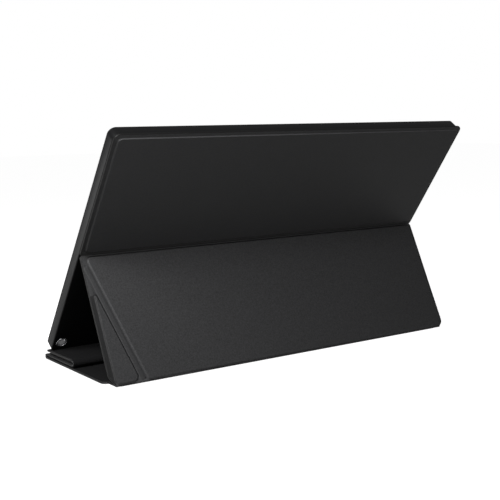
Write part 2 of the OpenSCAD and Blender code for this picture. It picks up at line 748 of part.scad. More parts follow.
rear_housing();
front_bezel();
screen_panel();
diffuser_sheets();
light_guide();
led_bar();
panel_frame();
panel_driver_board();
flat_cable();
main_board();
board_shield();
usb_c_socket();
button_board();
power_button();
menu_button();
status_light();
pen_hole_ring();
panel_screws();
catch_plates();
upper_skin();
upper_board();
upper_lining();
upper_magnets();
crease_strip();
leg_skin();
leg_board();
leg_lining();
leg_flap_skin();
leg_flap_board();
leg_flap_lining();
foot_fold_strip();
spine_skin();
spine_board();
spine_lining();
floor_skin();
floor_board();
floor_lining();
floor_flap_skin();
floor_flap_board();
floor_flap_lining();
front_fold_strip();
middle_skin();
middle_board();
middle_lining();
rear_fold_strip();
top_skin();
top_board();
top_lining();
top_magnets();
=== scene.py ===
"""Looks of a portable monitor that leans back on its folded leather cover.

Shapes are in millimetres in the local frame of each panel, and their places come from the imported
frame. A cover panel lies at z = 0 with its inner face up and its leather side towards -z.
"""

import json
from math import cos, degrees, pi, radians, sin, tan

import bpy
import numpy as np
from mathutils import Matrix, Vector


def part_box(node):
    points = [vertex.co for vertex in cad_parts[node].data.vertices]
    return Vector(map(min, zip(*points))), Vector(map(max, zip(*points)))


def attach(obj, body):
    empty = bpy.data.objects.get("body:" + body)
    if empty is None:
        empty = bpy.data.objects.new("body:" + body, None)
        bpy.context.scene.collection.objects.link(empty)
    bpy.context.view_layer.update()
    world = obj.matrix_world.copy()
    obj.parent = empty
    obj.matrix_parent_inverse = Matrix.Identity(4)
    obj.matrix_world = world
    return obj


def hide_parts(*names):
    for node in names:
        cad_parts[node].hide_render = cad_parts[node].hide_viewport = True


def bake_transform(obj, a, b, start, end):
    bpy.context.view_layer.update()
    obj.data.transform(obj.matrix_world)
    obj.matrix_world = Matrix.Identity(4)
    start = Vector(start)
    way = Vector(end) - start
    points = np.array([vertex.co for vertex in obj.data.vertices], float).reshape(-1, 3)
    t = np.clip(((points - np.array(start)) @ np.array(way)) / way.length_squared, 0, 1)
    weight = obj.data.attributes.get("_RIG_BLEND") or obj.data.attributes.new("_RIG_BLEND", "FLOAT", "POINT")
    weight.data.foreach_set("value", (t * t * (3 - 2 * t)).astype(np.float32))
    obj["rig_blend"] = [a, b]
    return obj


bl_info = {
    "name": "Portable monitor with folding cover",
    "version": (1, 0, 0),
    "blender": (4, 5, 0),
    "location": "3D View > Sidebar > Monitor",
    "description": "Dresses a portable monitor and its folding leather cover",
    "category": "Object",
}

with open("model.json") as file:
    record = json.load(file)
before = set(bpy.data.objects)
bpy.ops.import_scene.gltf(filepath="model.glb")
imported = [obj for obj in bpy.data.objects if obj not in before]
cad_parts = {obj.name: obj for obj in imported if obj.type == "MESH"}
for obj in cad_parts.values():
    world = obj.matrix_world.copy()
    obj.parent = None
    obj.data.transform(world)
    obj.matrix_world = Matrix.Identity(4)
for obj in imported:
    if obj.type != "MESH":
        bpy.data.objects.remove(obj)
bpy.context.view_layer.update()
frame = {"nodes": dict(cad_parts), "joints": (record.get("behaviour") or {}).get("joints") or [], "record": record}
JOINT = {j["name"]: np.array(j.get("pos_m", (0, 0, 0))) * 1000 for j in frame["joints"]}
PEN_HOLE = next(m for m in frame["record"]["mounts"] if m["name"] == "pen_hole")
MM = 0.001
# how far the strips in the folds lie outside the panels, and how thick they are, in mm
PROUD, THICK = 0.03, 0.5


# ---- colours and properties ----


def srgb(code):
    """Linear RGBA of an sRGB hex colour: the usual curve, with its straight foot."""
    v = np.array([int(code[i : i + 2], 16) / 255 for i in (1, 3, 5)])
    v = np.where(v <= 0.04045, v / 12.92, ((v + 0.055) / 1.055) ** 2.4)
    return (*v.tolist(), 1.0)


def size(label, value, words):
    """A length in millimetres that a user may change."""
    words += ", in mm"
    return bpy.props.FloatProperty(name=label, description=words, default=value, min=0.0)


def angle(label, value, words):
    """An angle that a user may change."""
    return bpy.props.FloatProperty(name=label, description=words, default=radians(value),
                                   subtype="ANGLE", unit="ROTATION")


def colour(label, code, words):
    """A colour that a user may change, from its sRGB hex code."""
    return bpy.props.FloatVectorProperty(name=label, description=words, default=srgb(code),
                                         size=4, min=0, max=1, subtype="COLOR")


class PortableMonitorSizes(bpy.types.PropertyGroup):
    """Sizes of the monitor."""

    tilt: angle("Tilt", 35.7, "How far the monitor leans back from upright")
    thickness: size("Thickness", 10.0, "From the bezel's front to the housing's back")
    width: size("Width", 359.7, "Width of the housing")
    height: size("Height", 226.4, "Height of the housing along the screen")
    corner: size("Upper corner radius", 6.0, "Radius of the housing's two upper corners")
    foot_corner: size("Lower corner radius", 3.0, "Radius of the housing's two lower corners")
    back_edge: size("Back edge radius", 0.8, "Rounding along the housing's back edges")
    bezel: size("Bezel thickness", 1.4, "Thickness of the front bezel")
    hole_side: size("Pen hole from side", 8.35, "From the side to the middle of the pen hole")
    hole_up: size("Pen hole from bottom", 8.5, "From the bottom to the middle of the pen hole")
    screen_width: size("Screen width", 344.2, "Width of the picture area")
    screen_height: size("Screen height", 193.6, "Height of the picture area")
    chin: size("Chin", 23.8, "Height of the border under the picture area")
    power_side: size("Power button from side", 20.0, "From the side to the power button")
    button_up: size("Buttons from bottom", 10.5, "From the bottom to the buttons")
    socket_up: size("Socket from bottom", 42.0, "From the bottom to the socket")


class FoldingCoverSizes(bpy.types.PropertyGroup):
    """Sizes of the cover."""

    lean: angle("Leg lean", 25.7, "How far the rear leg leans from upright")
    slope: angle("Top panel slope", 0.7, "Rise of the top panel towards the back")
    skin: size("Leather", 1.0, "Thickness of the leather")
    lining: size("Lining", 0.9, "Thickness of the lining")
    board: size("Board", 1.0, "Thickness of the stiffening boards")
    overhang: size("Overhang", 0.1, "How far the cover passes each side of the monitor")
    top_overhang: size("Top overhang", 1.5, "How far the cover passes the monitor's top")
    hem: size("Hem", 4.0, "Width of the flat hem round the boards")
    flap_hem: size("Flap hem", 5.3, "Hem beside the boards of the two triangles")
    step: size("Step", 1.15, "Width of the soft step from hem to board")
    gap: size("Fold gap", 0.15, "From a fold line to the panels beside it")
    upper_channel: size("Upper channel", 4.3, "From the crease up to the upper board")
    leg_channel: size("Leg channel", 2.1, "From the crease down to the leg's board")
    foot_hem: size("Foot hem", 0.8, "From the leg's end to its board")
    fold_channel: size("Fold channel", 2.0, "From a panel's end to its board elsewhere")
    flap: size("Triangle width", 29.4, "Width of the triangles at the foot")
    diagonal: size("Diagonal channel", 4.9, "From a diagonal fold to the large board beside it")
    flap_channel: size("Triangle channel", 3.6, "From a diagonal fold to the triangle's board")
    spine_inset: size("Spine inset", 6.0, "How much the cover narrows at the foot, each side")
    middle_length: size("Middle panel", 53.25, "Length of the middle panel")
    setback: size("Tip setback", 1.45, "From the front fold back to the top panel's tip")
    upper_length: size("Upper panel foot", 110.2, "Height of the crease along the back")
    rise: size("Inner rise", 0.25, "How far the boards stand out on the lining side")
    edge: size("Edge radius", 0.45, "Rounding of the turned edges of the leather")


class MonitorFinishes(bpy.types.PropertyGroup):
    """Colours of the materials."""

    leather: colour("Leather", "#373738", "Black synthetic leather")
    lining: colour("Lining", "#131314", "Dark grey microfibre")
    housing: colour("Housing", "#111112", "Moulded and painted housing")
    bezel: colour("Bezel", "#1b1b1c", "Matt black bezel")
    screen: colour("Screen", "#0b0b0d", "Switched-off panel")
    chrome: colour("Chrome", "#c9c9cb", "Polished sleeve of the pen hole")


# ---- places ----


def measures():
    """The sizes of the monitor, and of the cover."""
    return bpy.context.scene.monitor_sizes, bpy.context.scene.cover_sizes


def place(points, origin, turn):
    """Points (x, y, z) turned about X by an angle and moved:
    y' = y cos - z sin, z' = y sin + z cos."""
    p = np.asarray(points, float)
    c, s = cos(turn), sin(turn)
    y, z = p[..., 1], p[..., 2]
    turned = np.stack([p[..., 0], y * c - z * s, y * s + z * c], -1)
    return turned + np.asarray(origin, float)


def monitor_origin():
    """The middle of the monitor's front bottom edge, worked back from the pen hole's place."""
    m = measures()[0]
    up = np.array([0, sin(m.tilt), cos(m.tilt)])
    back = np.array([0, cos(m.tilt), -sin(m.tilt)])
    hole = np.array(PEN_HOLE["pos_m"]) * 1000
    origin = hole - up * m.hole_up - back * m.thickness / 2
    origin[0] = 0
    return origin


def places():
    """Origin and turn of each panel's local frame, with z = 0 at its inner face."""
    m, c = measures()
    hem = c.skin + c.lining
    back = np.array([0, cos(m.tilt), -sin(m.tilt)])
    leg_turn = pi / 2 + c.lean
    leg_shift = place([0, 0, hem], (0, 0, 0), leg_turn)
    loop = [np.array(v) * 1000 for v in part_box("rear_fold_strip")]
    floor_top, front = JOINT["floor_fold"][2] + hem, JOINT["front_fold"]
    return {
        "monitor": (monitor_origin(), pi / 2 - m.tilt),
        "upper": (monitor_origin() + back * m.thickness, pi / 2 - m.tilt),
        "leg": (JOINT["leg_fold"] + leg_shift, leg_turn),
        "floor": (np.array([0, 0, floor_top]), 0.0),
        "middle": (np.array([0, front[1], 2 * front[2] - floor_top]), pi),
        "top": (np.array([0, loop[0][1], loop[1][2]]), c.slope),
    }


# ---- meshes ----


def new_object(name, data):
    """An object with this data, in the scene."""
    obj = bpy.data.objects.new(name, data)
    bpy.context.scene.collection.objects.link(obj)
    return obj


def new_mesh(name, points, faces):
    """An object whose smooth mesh has these points, in millimetres, and these faces."""
    mesh = bpy.data.meshes.new(name)
    mesh.from_pydata((np.asarray(points) * MM).tolist(), [], faces)
    mesh.validate()
    mesh.shade_smooth()
    return new_object(name, mesh)


def ring_solid(name, rings, caps="fan"):
    """A closed solid from rings of points, each row joined to the next by quads.

    caps closes the first and last rings: "fan" about their middles, "band" across from each point
    to the one that mirrors it in the ring, and "loop" joins the last ring to the first. Faces are
    turned by the sign of the volume, the sum of a . (b x c) over the triangles."""
    rings = np.asarray(rings, float)
    rows, count = rings.shape[:2]
    i, j = np.arange(rows - (caps != "loop"))[:, None], np.arange(count)[None, :]
    k, after = (j + 1) % count, (i + 1) % rows
    quads = np.stack([i * count + j, i * count + k, after * count + k, after * count + j], -1)
    faces = quads.reshape(-1, 4).tolist()
    points = rings.reshape(-1, 3)
    end = (rows - 1) * count
    if caps == "fan":
        first, last = len(points), len(points) + 1
        points = np.vstack([points, rings[0].mean(0), rings[-1].mean(0)])
        a = np.arange(count)
        b = (a + 1) % count
        faces += np.stack([b, a, np.full(count, first)], -1).tolist()
        faces += np.stack([end + a, end + b, np.full(count, last)], -1).tolist()
    elif caps == "band":
        a = np.arange(count // 2 - 1)
        far = count - 1 - a
        cap = np.stack([a, far, far - 1, a + 1], -1)
        faces += cap.tolist() + (end + cap[:, ::-1]).tolist()
    tri = points[np.array([[f[0], f[n], f[n + 1]] for f in faces for n in range(1, len(f) - 1)])]
    if np.einsum("ij,ij->i", tri[:, 0], np.cross(tri[:, 1], tri[:, 2])).sum() < 0:
        faces = [f[::-1] for f in faces]
    return new_mesh(name, points, faces)


def unit(v):
    """A vector divided by its length."""
    return v / np.linalg.norm(v)


def inset(corners, widths):
    """Corners of a convex anticlockwise outline whose side i is moved inwards by widths[i]:
    each new corner is where the two moved lines meet."""
    p = np.asarray(corners, float)
    n = len(p)
    moved = []
    for i in range(n):
        side_a, side_b = unit(p[i] - p[i - 1]), unit(p[(i + 1) % n] - p[i])
        in_a, in_b = np.array([-side_a[1], side_a[0]]), np.array([-side_b[1], side_b[0]])
        a, b = widths[i - 1], widths[i]
        moved.append(p[i] + np.linalg.solve([in_a, in_b], [a, b]))
    return np.array(moved)


# the steps of a rounded outline on each arc and on each side
ON_ARC, ON_SIDE = 8, 10


def rounded(corners, radii):
    """The outline with each corner an arc: its centre lies r / sin(half) along the bisector, and
    its ends r / tan(half) along the sides."""
    p = np.asarray(corners, float)
    n = len(p)
    arcs = []
    for i in range(n):
        u, v = unit(p[i - 1] - p[i]), unit(p[(i + 1) % n] - p[i])
        half = np.arccos(np.clip(u @ v, -1, 1)) / 2
        r = max(radii[i], 0.02)
        centre = p[i] + unit(u + v) * r / sin(half)
        start = p[i] + u * r / tan(half) - centre
        a = np.arctan2(start[1], start[0]) + np.linspace(0, pi - 2 * half, ON_ARC + 1)
        arcs.append(centre + r * np.stack([np.cos(a), np.sin(a)], -1))
    t = np.linspace(0, 1, ON_SIDE + 1)[1:-1, None]
    return np.vstack([np.vstack([arcs[i], arcs[i][-1] * (1 - t) + arcs[(i + 1) % n][0] * t])
                      for i in range(n)])


def with_z(loop, z):
    """Flat points, given the height z."""
    return np.column_stack([loop, np.full(len(loop), z)])


# the soft step at a board's edge: distance outside the board in steps, and share of the rise
STEP = [(1.55, 0), (1.45, 0), (1.15, 0), (0.85, 0.05), (0.65, 0.2), (0.5, 0.45), (0.36, 0.7),
        (0.2, 0.9), (0.05, 0.98), (-0.1, 1)]
# how far the rings inside a board's edge lie on the way to its middle
INWARD = [0.008, 0.03, 0.1]
# a side of a panel that has a rounded edge and no fold
FREE = -1
# how deep a crease is at each row of the step, how deep in mm its foot is then pressed in, and how much painted
# shade darkens the crease's colour
CREASE_AND_SHADE = [0, 0.7, 1, 1, 1, 1, 0.7, 0.2, 0, 0]
PINCH, SHADE_AND_PAINT_DARKNESS = 0.12, 0.97
# how much painted highlight lies at each row of the step and inside it, where the board's edge would catch the
# light, and how much paler that paints it; a negative amount paints shade. The first rows lie on the hem
HEM_ROWS = 4
EDGE_LIGHT_ROWS = [0] * HEM_ROWS + [0.2, 0.9, 1, 0.7, 0.2, 0, 0, 0, 0]
EDGE_LIGHT_STRENGTH = 1.3


def mark(obj, name, values):
    """Gives a mesh's points a value each, for its material to read."""
    layers = obj.data.attributes
    data = (layers.get(name) or layers.new(name, "FLOAT", "POINT")).data
    data.foreach_set("value", np.broadcast_to(values, len(data)).astype(np.float32))


def along_sides(values):
    """A value for each point of a rounded outline, from one for each side: constant on a side,
    and changing evenly round the corners."""
    t = np.append(np.linspace(0, 1, ON_ARC + 1), [1] * (ON_SIDE - 1))
    return np.concatenate([values[i - 1] * (1 - t) + v * t for i, v in enumerate(values)])


def cover_panel(name, where, outline, radii, sides, board, board_radii, creased, highlight_and_shade, grain):
    """The leather and the lining of one panel of the cover, round its board.

    Both are closed shells of rings that run from the middle of one face, round the edge, to the
    middle of the other. The leather is one skin thick: inside it has the board's pocket, outside
    a flat hem and a soft step up to the board, and its edge is turned in over the lining side.
    The lining fills the rest, with a lower step, and the two meet at the deck. sides gives, for each side of the
    outline, FREE or, at a fold, how far the inner face stands back from the outer one. The next two lists say, for
    each side of the board, how sharply the leather is pressed in there and darkened with painted shade, and how
    much painted highlight lies on the board's edge there; a negative highlight paints shade on the step and the
    hem beside it. grain is how much of its grain shows."""
    c = measures()[1]
    e, top, hem, deck = c.edge, -c.rise, c.skin + c.lining, 0.95
    rim, seam = 2.4 * e, 0.05
    fold_back = np.array(sides, float)
    free = fold_back == FREE

    def hem_ring(depth, z):
        """The outline at a depth inside its free sides; at a fold only the mitre counts."""
        mitre = np.where(free, 0, fold_back * (z + hem) / (hem + top))
        d = np.where(free, depth, 0.12 * depth + mitre)
        corner = [max(x - depth, 0.05) if x > 1 else x for x in radii]
        return with_z(rounded(inset(outline, d), corner), z)

    def board_ring(out, z):
        """The board's outline, moved out."""
        return with_z(rounded(inset(board, [-out] * len(board)), np.array(board_radii) + out), z)

    def steps(base, rise, pinch=0):
        """The rings of the step, and of the flat inside it. pinch is how deep its foot is pressed
        in on a side that is fully creased."""
        rows = [board_ring(c.step * w, base + rise * h) for w, h in STEP]
        for row, deep in zip(rows, CREASE_AND_SHADE):
            row[:, 2] += pinch * deep * along_sides(creased)
        middle = rows[-1].mean(0)
        return rows + [middle + (rows[-1] - middle) * (1 - share) for share in INWARD]

    turns = np.radians([0, 22, 45, 68, 90])
    flat = steps(-hem, 0)[-1]
    rings = [flat, board_ring(seam, -hem), board_ring(seam, -deck)]
    rings += [hem_ring(rim, -deck), hem_ring(rim, top - 0.1), hem_ring(2.2 * e, top)]
    rings += [hem_ring(e * (1 - sin(a)), top - e * (1 - cos(a))) for a in turns]
    rings += [hem_ring(e * (1 - cos(a)), -hem + e * (1 - sin(a))) for a in turns]
    rings += [hem_ring(1.4 * e, -hem)]
    rings += steps(-hem, -c.board, PINCH)
    leather = ring_solid(name + "_leather", place(rings, *where))
    # the turned edge is darkened as a crease is, by dark edge paint and painted shade: it starts after the first
    # seven rings
    crease, rub = np.zeros((2, len(rings), len(rings[0])))
    crease[-len(STEP) - len(INWARD):-len(INWARD)] = np.outer(CREASE_AND_SHADE, along_sides(creased))
    crease[7:6 + 2 * len(turns)] = along_sides(free.astype(float))
    # painted highlight where the board's edge would catch the light; where the amount is negative, painted shade
    # on the step and on the hem beside it
    rub[-len(EDGE_LIGHT_ROWS):] = np.outer(EDGE_LIGHT_ROWS, along_sides(highlight_and_shade))
    rub[-len(EDGE_LIGHT_ROWS) - 1:-len(EDGE_LIGHT_ROWS) + HEM_ROWS] = np.minimum(along_sides(highlight_and_shade), 0)
    mark(leather, "crease", np.append(crease.ravel(), [0, 0]))
    mark(leather, "grain", grain)
    mark(leather, "rub", np.append(rub.ravel(), [0, 0]))
    rings = [with_z(flat[:, :2], -deck), board_ring(0, -deck)]
    levels = [(0.5, -deck), (0, seam - deck), (0, top - 0.1), (0.05, top - 0.03), (0.15, top),
              (0.5, top)]
    rings += [hem_ring(rim + depth, z) for depth, z in levels]
    rings += steps(top, c.rise)
    cloth = ring_solid(name + "_microfibre", place(rings, *where))
    return leather, cloth


def fold_band(name, outer, inner, reach, soft=0.12):
    """A band that follows a fold along x from -reach to reach: outer and inner are matching paths
    of (y, z). At each end the two faces draw together along a quarter circle."""
    outer, inner = np.asarray(outer, float), np.asarray(inner, float)
    into = inner - outer
    into /= np.linalg.norm(into, axis=1)[:, None]
    ends = [(1 - sin(a), 1 - cos(a)) for a in np.radians([0, 30, 60, 90])]
    rings = []
    for side in (-1, 1):
        for close, back in ends if side < 0 else ends[::-1]:
            ring = np.vstack([outer + into * soft * close, (inner - into * soft * close)[::-1]])
            rings.append(np.column_stack([np.full(len(ring), side * (reach - soft * back)), ring]))
    return ring_solid(name, rings, caps="band")


def bow(a, corner, b, count=9):
    """A curve from a to b that leaves towards the corner and arrives from it:
    (1 - t)^2 a + 2 t (1 - t) corner + t^2 b."""
    t = np.linspace(0, 1, count)[:, None]
    return (1 - t) ** 2 * np.array(a) + 2 * t * (1 - t) * np.array(corner) + t**2 * np.array(b)


def arc(centre, radius, start, end, count=25):
    """Points (y, z) on an ellipse with radii (y, z), from one angle in degrees to another."""
    a = np.radians(np.linspace(start, end, count))
    return centre + np.column_stack([np.cos(a), np.sin(a)]) * radius


def diagonal_band(name, where, low, high, widths, room, face, into):
    """A flat band over a diagonal fold, from low to high in the panel's plane. widths are its
    reach to each side of the fold. On the triangle's side, +X, it narrows to a share of the room
    there, given at its two ends. face is the height of its outside, and into the sign of its
    depth. Its ends are drawn in, and its long edges are chamfered."""
    low, high = np.array(low), np.array(high)
    along = unit(high - low)
    right = np.array([along[1], -along[0]]) * np.sign(along[1])
    t = np.array([0, 0.004, 0.02, 0.2, 0.4, 0.6, 0.8, 0.94, 0.985, 1.0])
    taper = np.array([0.75, 0.95, 1, 1, 1, 1, 1, 1, 0.95, 0.75])
    share, edge, chamfer, depth = 0.85, 0.15, 0.12, 0.45
    rights = np.minimum(widths[1], share * (room[0] + (room[1] - room[0]) * t)) * taper
    rise = np.array([chamfer, 0, 0, 0, 0, 0, 0, chamfer])
    rings = []
    for step, a, b in zip(t, widths[0] * taper, rights):
        across = np.array([-a, edge - a, -0.5, -0.17, 0.17, 0.5, b - edge, b])
        flat = low + (high - low) * step + right * across[:, None]
        front = np.column_stack([flat, face + into * rise])
        rings.append(np.vstack([front, with_z(flat, face + into * depth)[::-1]]))
    return ring_solid(name, place(rings, *where), caps="band"), right


def block(corners, radii, levels):
    """The rings of a solid from a rounded outline: at each level (z, depth) it is moved inwards
    by depth."""
    n = len(corners)
    return [with_z(rounded(inset(corners, [d] * n), [max(r - d, 0.05) for r in radii]), z)
            for z, d in levels]


def round_edge(z, radius, sign, steps=6):
    """Levels of a quarter circle into a face at z, whose outside is towards sign: the depth goes
    from 0 at the side to the radius on the face."""
    a = np.linspace(0, pi / 2, steps + 1)
    return [(z - sign * radius * (1 - sin(t)), radius * (1 - cos(t))) for t in a]


def tube(x, y, radius, z0, z1, count=64):
    """The rings of a cylinder between two depths."""
    a = np.linspace(0, 2 * pi, count, endpoint=False)
    loop = np.column_stack([x + radius * np.cos(a), y + radius * np.sin(a)])
    return [with_z(loop, z0), with_z(loop, z1)]


def sleeve(x, y, deep, bore=4.2, wall=4.7, flange=5.25, thick=0.6, count=72):
    """The rings of a turned sleeve in a plate from z = 0 to -deep: its bore and outside are
    cylinders, and its flange at -deep is rounded over by part of a circle from wall to wall."""
    turn = np.linspace(0, 2 * pi, count, endpoint=False)
    roll = np.linspace(0, pi, 13)
    middle, half = (bore + flange) / 2, (flange - bore) / 2
    lip = [(middle - half * cos(a), -deep - 0.35 * sin(a)) for a in roll]
    profile = [(bore, 0.0), (bore, 0.2 - deep), *lip, (flange, thick - deep), (wall, thick - deep),
               (wall, 0.0)]
    return [np.column_stack([x + r * np.cos(turn), y + r * np.sin(turn), np.full(count, z)])
            for r, z in profile]


def carve(obj, cutters):
    """Cuts closed solids out of another, keeps the result as its mesh and smooths it, apart from
    edges sharper than 30 degrees."""
    for cutter in cutters:
        cut = obj.modifiers.new("cut", "BOOLEAN")
        cut.operation, cut.solver, cut.object = "DIFFERENCE", "EXACT", cutter
    bpy.context.view_layer.update()
    graph = bpy.context.evaluated_depsgraph_get()
    mesh = bpy.data.meshes.new_from_object(obj.evaluated_get(graph))
    obj.modifiers.clear()
    obj.data = mesh
    mesh.shade_smooth()
    mesh.set_sharp_from_angle(angle=radians(30))
    for cutter in cutters:
        bpy.data.objects.remove(cutter)


# ---- materials ----


def add(tree, kind, settings=None, links=None):
    """Adds a node with its settings, then links its inputs from (node, output) pairs."""
    node = tree.nodes.new(kind)
    for key, value in (settings or {}).items():
        if isinstance(key, int) or key in node.inputs and not hasattr(node, key):
            node.inputs[key].default_value = value
        else:
            setattr(node, key, value)
    for key, (source, output) in (links or {}).items():
        tree.links.new(source.outputs[output], node.inputs[key])
    return node


def material(name, base, **sockets):
    """A new material with a Principled shader: its tree, shader and Object coordinates."""
    mat = bpy.data.materials.new(name)
    mat.use_nodes = True
    tree = mat.node_tree
    shader = tree.nodes["Principled BSDF"]
    shader.inputs["Base Color"].default_value = base
    for key, value in sockets.items():
        shader.inputs[key.replace("_", " ")].default_value = value
    return tree, shader, add(tree, "ShaderNodeTexCoord")


def mottle(tree, shader, coords, base, scale, spread, detail=3.0):
    """Varies the base colour with a noise of the given scale per metre, by spread either way."""
    noise = add(tree, "ShaderNodeTexNoise", {"Scale": scale, "Detail": detail, "Roughness": 0.6},
                {"Vector": (coords, "Object")})
    ramp = add(tree, "ShaderNodeValToRGB", None, {"Fac": (noise, "Fac")})
    for stop, at, share in zip(ramp.color_ramp.elements, (0.3, 0.7), (1 - spread, 1 + spread)):
        stop.position = at
        stop.color = (*(v * share for v in base[:3]), 1)
    tree.links.new(ramp.outputs["Color"], shader.inputs["Base Color"])
    return noise


def bump(tree, shader, height, distance, strength, below=None):
    """Bumps the shader's normal by a height output, on top of an earlier bump node."""
    links = {"Height": height}
    if below:
        links["Normal"] = (below, "Normal")
    node = add(tree, "ShaderNodeBump", {"Distance": distance, "Strength": strength}, links)
    tree.links.new(node.outputs["Normal"], shader.inputs["Normal"])
    return node


def synthetic_leather(base):
    """Polyurethane-coated fabric, embossed with a fine grain and pressed in along its boards: dull and mottled,
    with painted shade darkening its creases, dark edge paint and painted shade on its turned edges, and painted
    highlight paling its boards' edges. The mesh says how strongly it is grained and how much painted shade and
    painted highlight it takes, and the colour is the base times 1 + speckle x grain, times 1 - the darkness x
    shade, times 1 + the highlight's strength x highlight. The real grain is about 0.5 mm across, drawn at 1 to 2
    mm so that it shows."""
    tree, shader, coords = material("synthetic_leather", base, Roughness=0.52, IOR=1.5,
                                    Specular_IOR_Level=0.35)
    # painted shade in the creases, with dark edge paint on the turned edges; the grain; painted highlight on the
    # boards' edges, which paints shade where it is negative
    crease, grain, rub = [add(tree, "ShaderNodeAttribute", {"attribute_name": name})
                          for name in ("crease", "grain", "rub")]
    noise = add(tree, "ShaderNodeTexNoise", {"Scale": 800, "Detail": 4.0, "Roughness": 0.75},
                {"Vector": (coords, "Object")})
    speckle = add(tree, "ShaderNodeMapRange", {"From Min": 0.3, "From Max": 0.7,
                  "To Min": -0.42, "To Max": 0.42}, {"Value": (noise, "Fac")})
    shade = add(tree, "ShaderNodeMath", {"operation": "MULTIPLY_ADD", 2: 1.0},
                {0: (speckle, "Result"), 1: (grain, "Fac")})
    for layer, amount in ((crease, -SHADE_AND_PAINT_DARKNESS), (rub, EDGE_LIGHT_STRENGTH)):
        share = add(tree, "ShaderNodeMath", {"operation": "MULTIPLY_ADD", 1: amount, 2: 1.0},
                    {0: (layer, "Fac")})
        shade = add(tree, "ShaderNodeMath", {"operation": "MULTIPLY"},
                    {0: (shade, 0), 1: (share, 0)})
    tone = add(tree, "ShaderNodeVectorMath", {"operation": "SCALE", 0: base[:3]},
               {"Scale": (shade, 0)})
    tree.links.new(tone.outputs["Vector"], shader.inputs["Base Color"])
    cells = add(tree, "ShaderNodeTexVoronoi", {"feature": "DISTANCE_TO_EDGE", "Scale": 900},
                {"Vector": (coords, "Object")})
    height = add(tree, "ShaderNodeMath", {"operation": "MULTIPLY"},
                 {0: (cells, "Distance"), 1: (grain, "Fac")})
    soft = add(tree, "ShaderNodeTexNoise", {"Scale": 260, "Detail": 3.0},
               {"Vector": (coords, "Object")})
    first = bump(tree, shader, (height, 0), 0.00025, 0.5)
    bump(tree, shader, (soft, "Fac"), 0.0004, 0.12, first)


def microfibre(base):
    """Short-napped microfibre cloth: fully matt, its nap about 0.4 mm, drawn at 0.8 mm."""
    tree, shader, coords = material("microfibre", base, Roughness=0.95, Specular_IOR_Level=0.15)
    noise = mottle(tree, shader, coords, base, 1200, 0.18, 4.0)
    bump(tree, shader, (noise, "Fac"), 0.0002, 0.3)


def painted_plastic(name, base, rough):
    """Moulded plastic with a satin spray finish, whose orange peel, about 0.4 mm across, breaks
    up the gloss."""
    tree, shader, coords = material(name, base, Roughness=rough, Specular_IOR_Level=0.17)
    noise = mottle(tree, shader, coords, base, 2600, 0.05)
    bump(tree, shader, (noise, "Fac"), 0.00005, 0.15)


def plain(name, base, **sockets):
    """A finish that is even apart from slight handling marks in its colour, about 11 mm across."""
    mottle(*material(name, base, **sockets), base, 90, 0.03)


def materials():
    """Every material by name, made once."""
    f = bpy.context.scene.monitor_finishes
    if "synthetic_leather" not in bpy.data.materials:
        synthetic_leather(tuple(f.leather))
        microfibre(tuple(f.lining))
        painted_plastic("sprayed_abs", tuple(f.housing), 0.38)
        painted_plastic("textured_abs", tuple(f.bezel), 0.5)
        # glossy film and clear parts, metals that mirror or blur the room, and matt board
        plain("screen_film", tuple(f.screen), Roughness=0.22, IOR=1.5)
        plain("clear_plastic", srgb("#d8dee0"), Roughness=0.15, Transmission_Weight=0.6)
        plain("white_film", srgb("#e6e6e4"), Roughness=0.5)
        plain("chrome_plate", tuple(f.chrome), Metallic=1.0, Roughness=0.25)
        plain("sheet_steel", srgb("#9a9a9c"), Metallic=1.0, Roughness=0.35)
        plain("fr4_laminate", srgb("#14532b"), Roughness=0.4)
        plain("grey_board", srgb("#77736c"), Roughness=0.9)
    return bpy.data.materials


def finish(obj, body, slot, look, *nodes):
    """Gives a new piece its material and its body, and hides the nodes that it stands for; slot is not used."""
    obj.data.materials.clear()
    obj.data.materials.append(materials()[look])
    if look == "synthetic_leather" and "grain" not in obj.data.attributes:
        mark(obj, "grain", 0.6)
        mark(obj, "crease", 0.0)
        mark(obj, "rub", 0.0)
    if body:
        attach(obj, body)
    if nodes:
        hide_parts(*nodes)
    return obj


def bend(obj, look, bodies, start, end, *nodes):
    """Finishes a strip that bends between two bodies, from start to end in millimetres."""
    slot = "leather" if look == "synthetic_leather" else "lining_fabric"
    finish(obj, None, slot, look, *nodes)
    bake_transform(obj, *bodies, start=tuple(np.asarray(start) * MM), end=tuple(np.asarray(end) * MM))
    return obj


# ---- outlines of the cover ----


def rect(x0, y0, x1, y1):
    """A rectangle's corners, anticlockwise from the lower left."""
    return [(x0, y0), (x1, y0), (x1, y1), (x0, y1)]


def half_width():
    """Half the cover's width."""
    m, c = measures()
    return m.width / 2 + c.overhang


def leg_length():
    """From the crease to the foot corner, measured down the leg's outer plane."""
    c = measures()[1]
    return (JOINT["leg_fold"][2] - c.board) / cos(c.lean)


def foot_cut():
    """From the crease to the end of the leg's leather, where the fold at the foot starts."""
    c = measures()[1]
    return leg_length() - c.skin * tan((pi / 2 + c.lean) / 2)


def mitre():
    """How much further the inner faces stand back than the outer ones at the foot."""
    c = measures()[1]
    return (c.lining - c.rise) * tan((pi / 2 + c.lean) / 2) + 0.15


def floor_length():
    """From the front fold to the floor panel's other end."""
    return JOINT["floor_fold"][1] - JOINT["front_fold"][1]


def diagonal_point(y, shift, start, length):
    """The point at y on a diagonal fold that leaves the side at start and is a triangle's width
    inside it after length, moved by shift towards the side."""
    c = measures()[1]
    return (half_width() - c.flap * abs(y - start) / length + shift, y)


def diagonal_end(x, shift, start, length):
    """The point at x on the same line."""
    c = measures()[1]
    run = (half_width() + shift - x) / c.flap * length
    return (x, start - run if start == 0 else start + run)


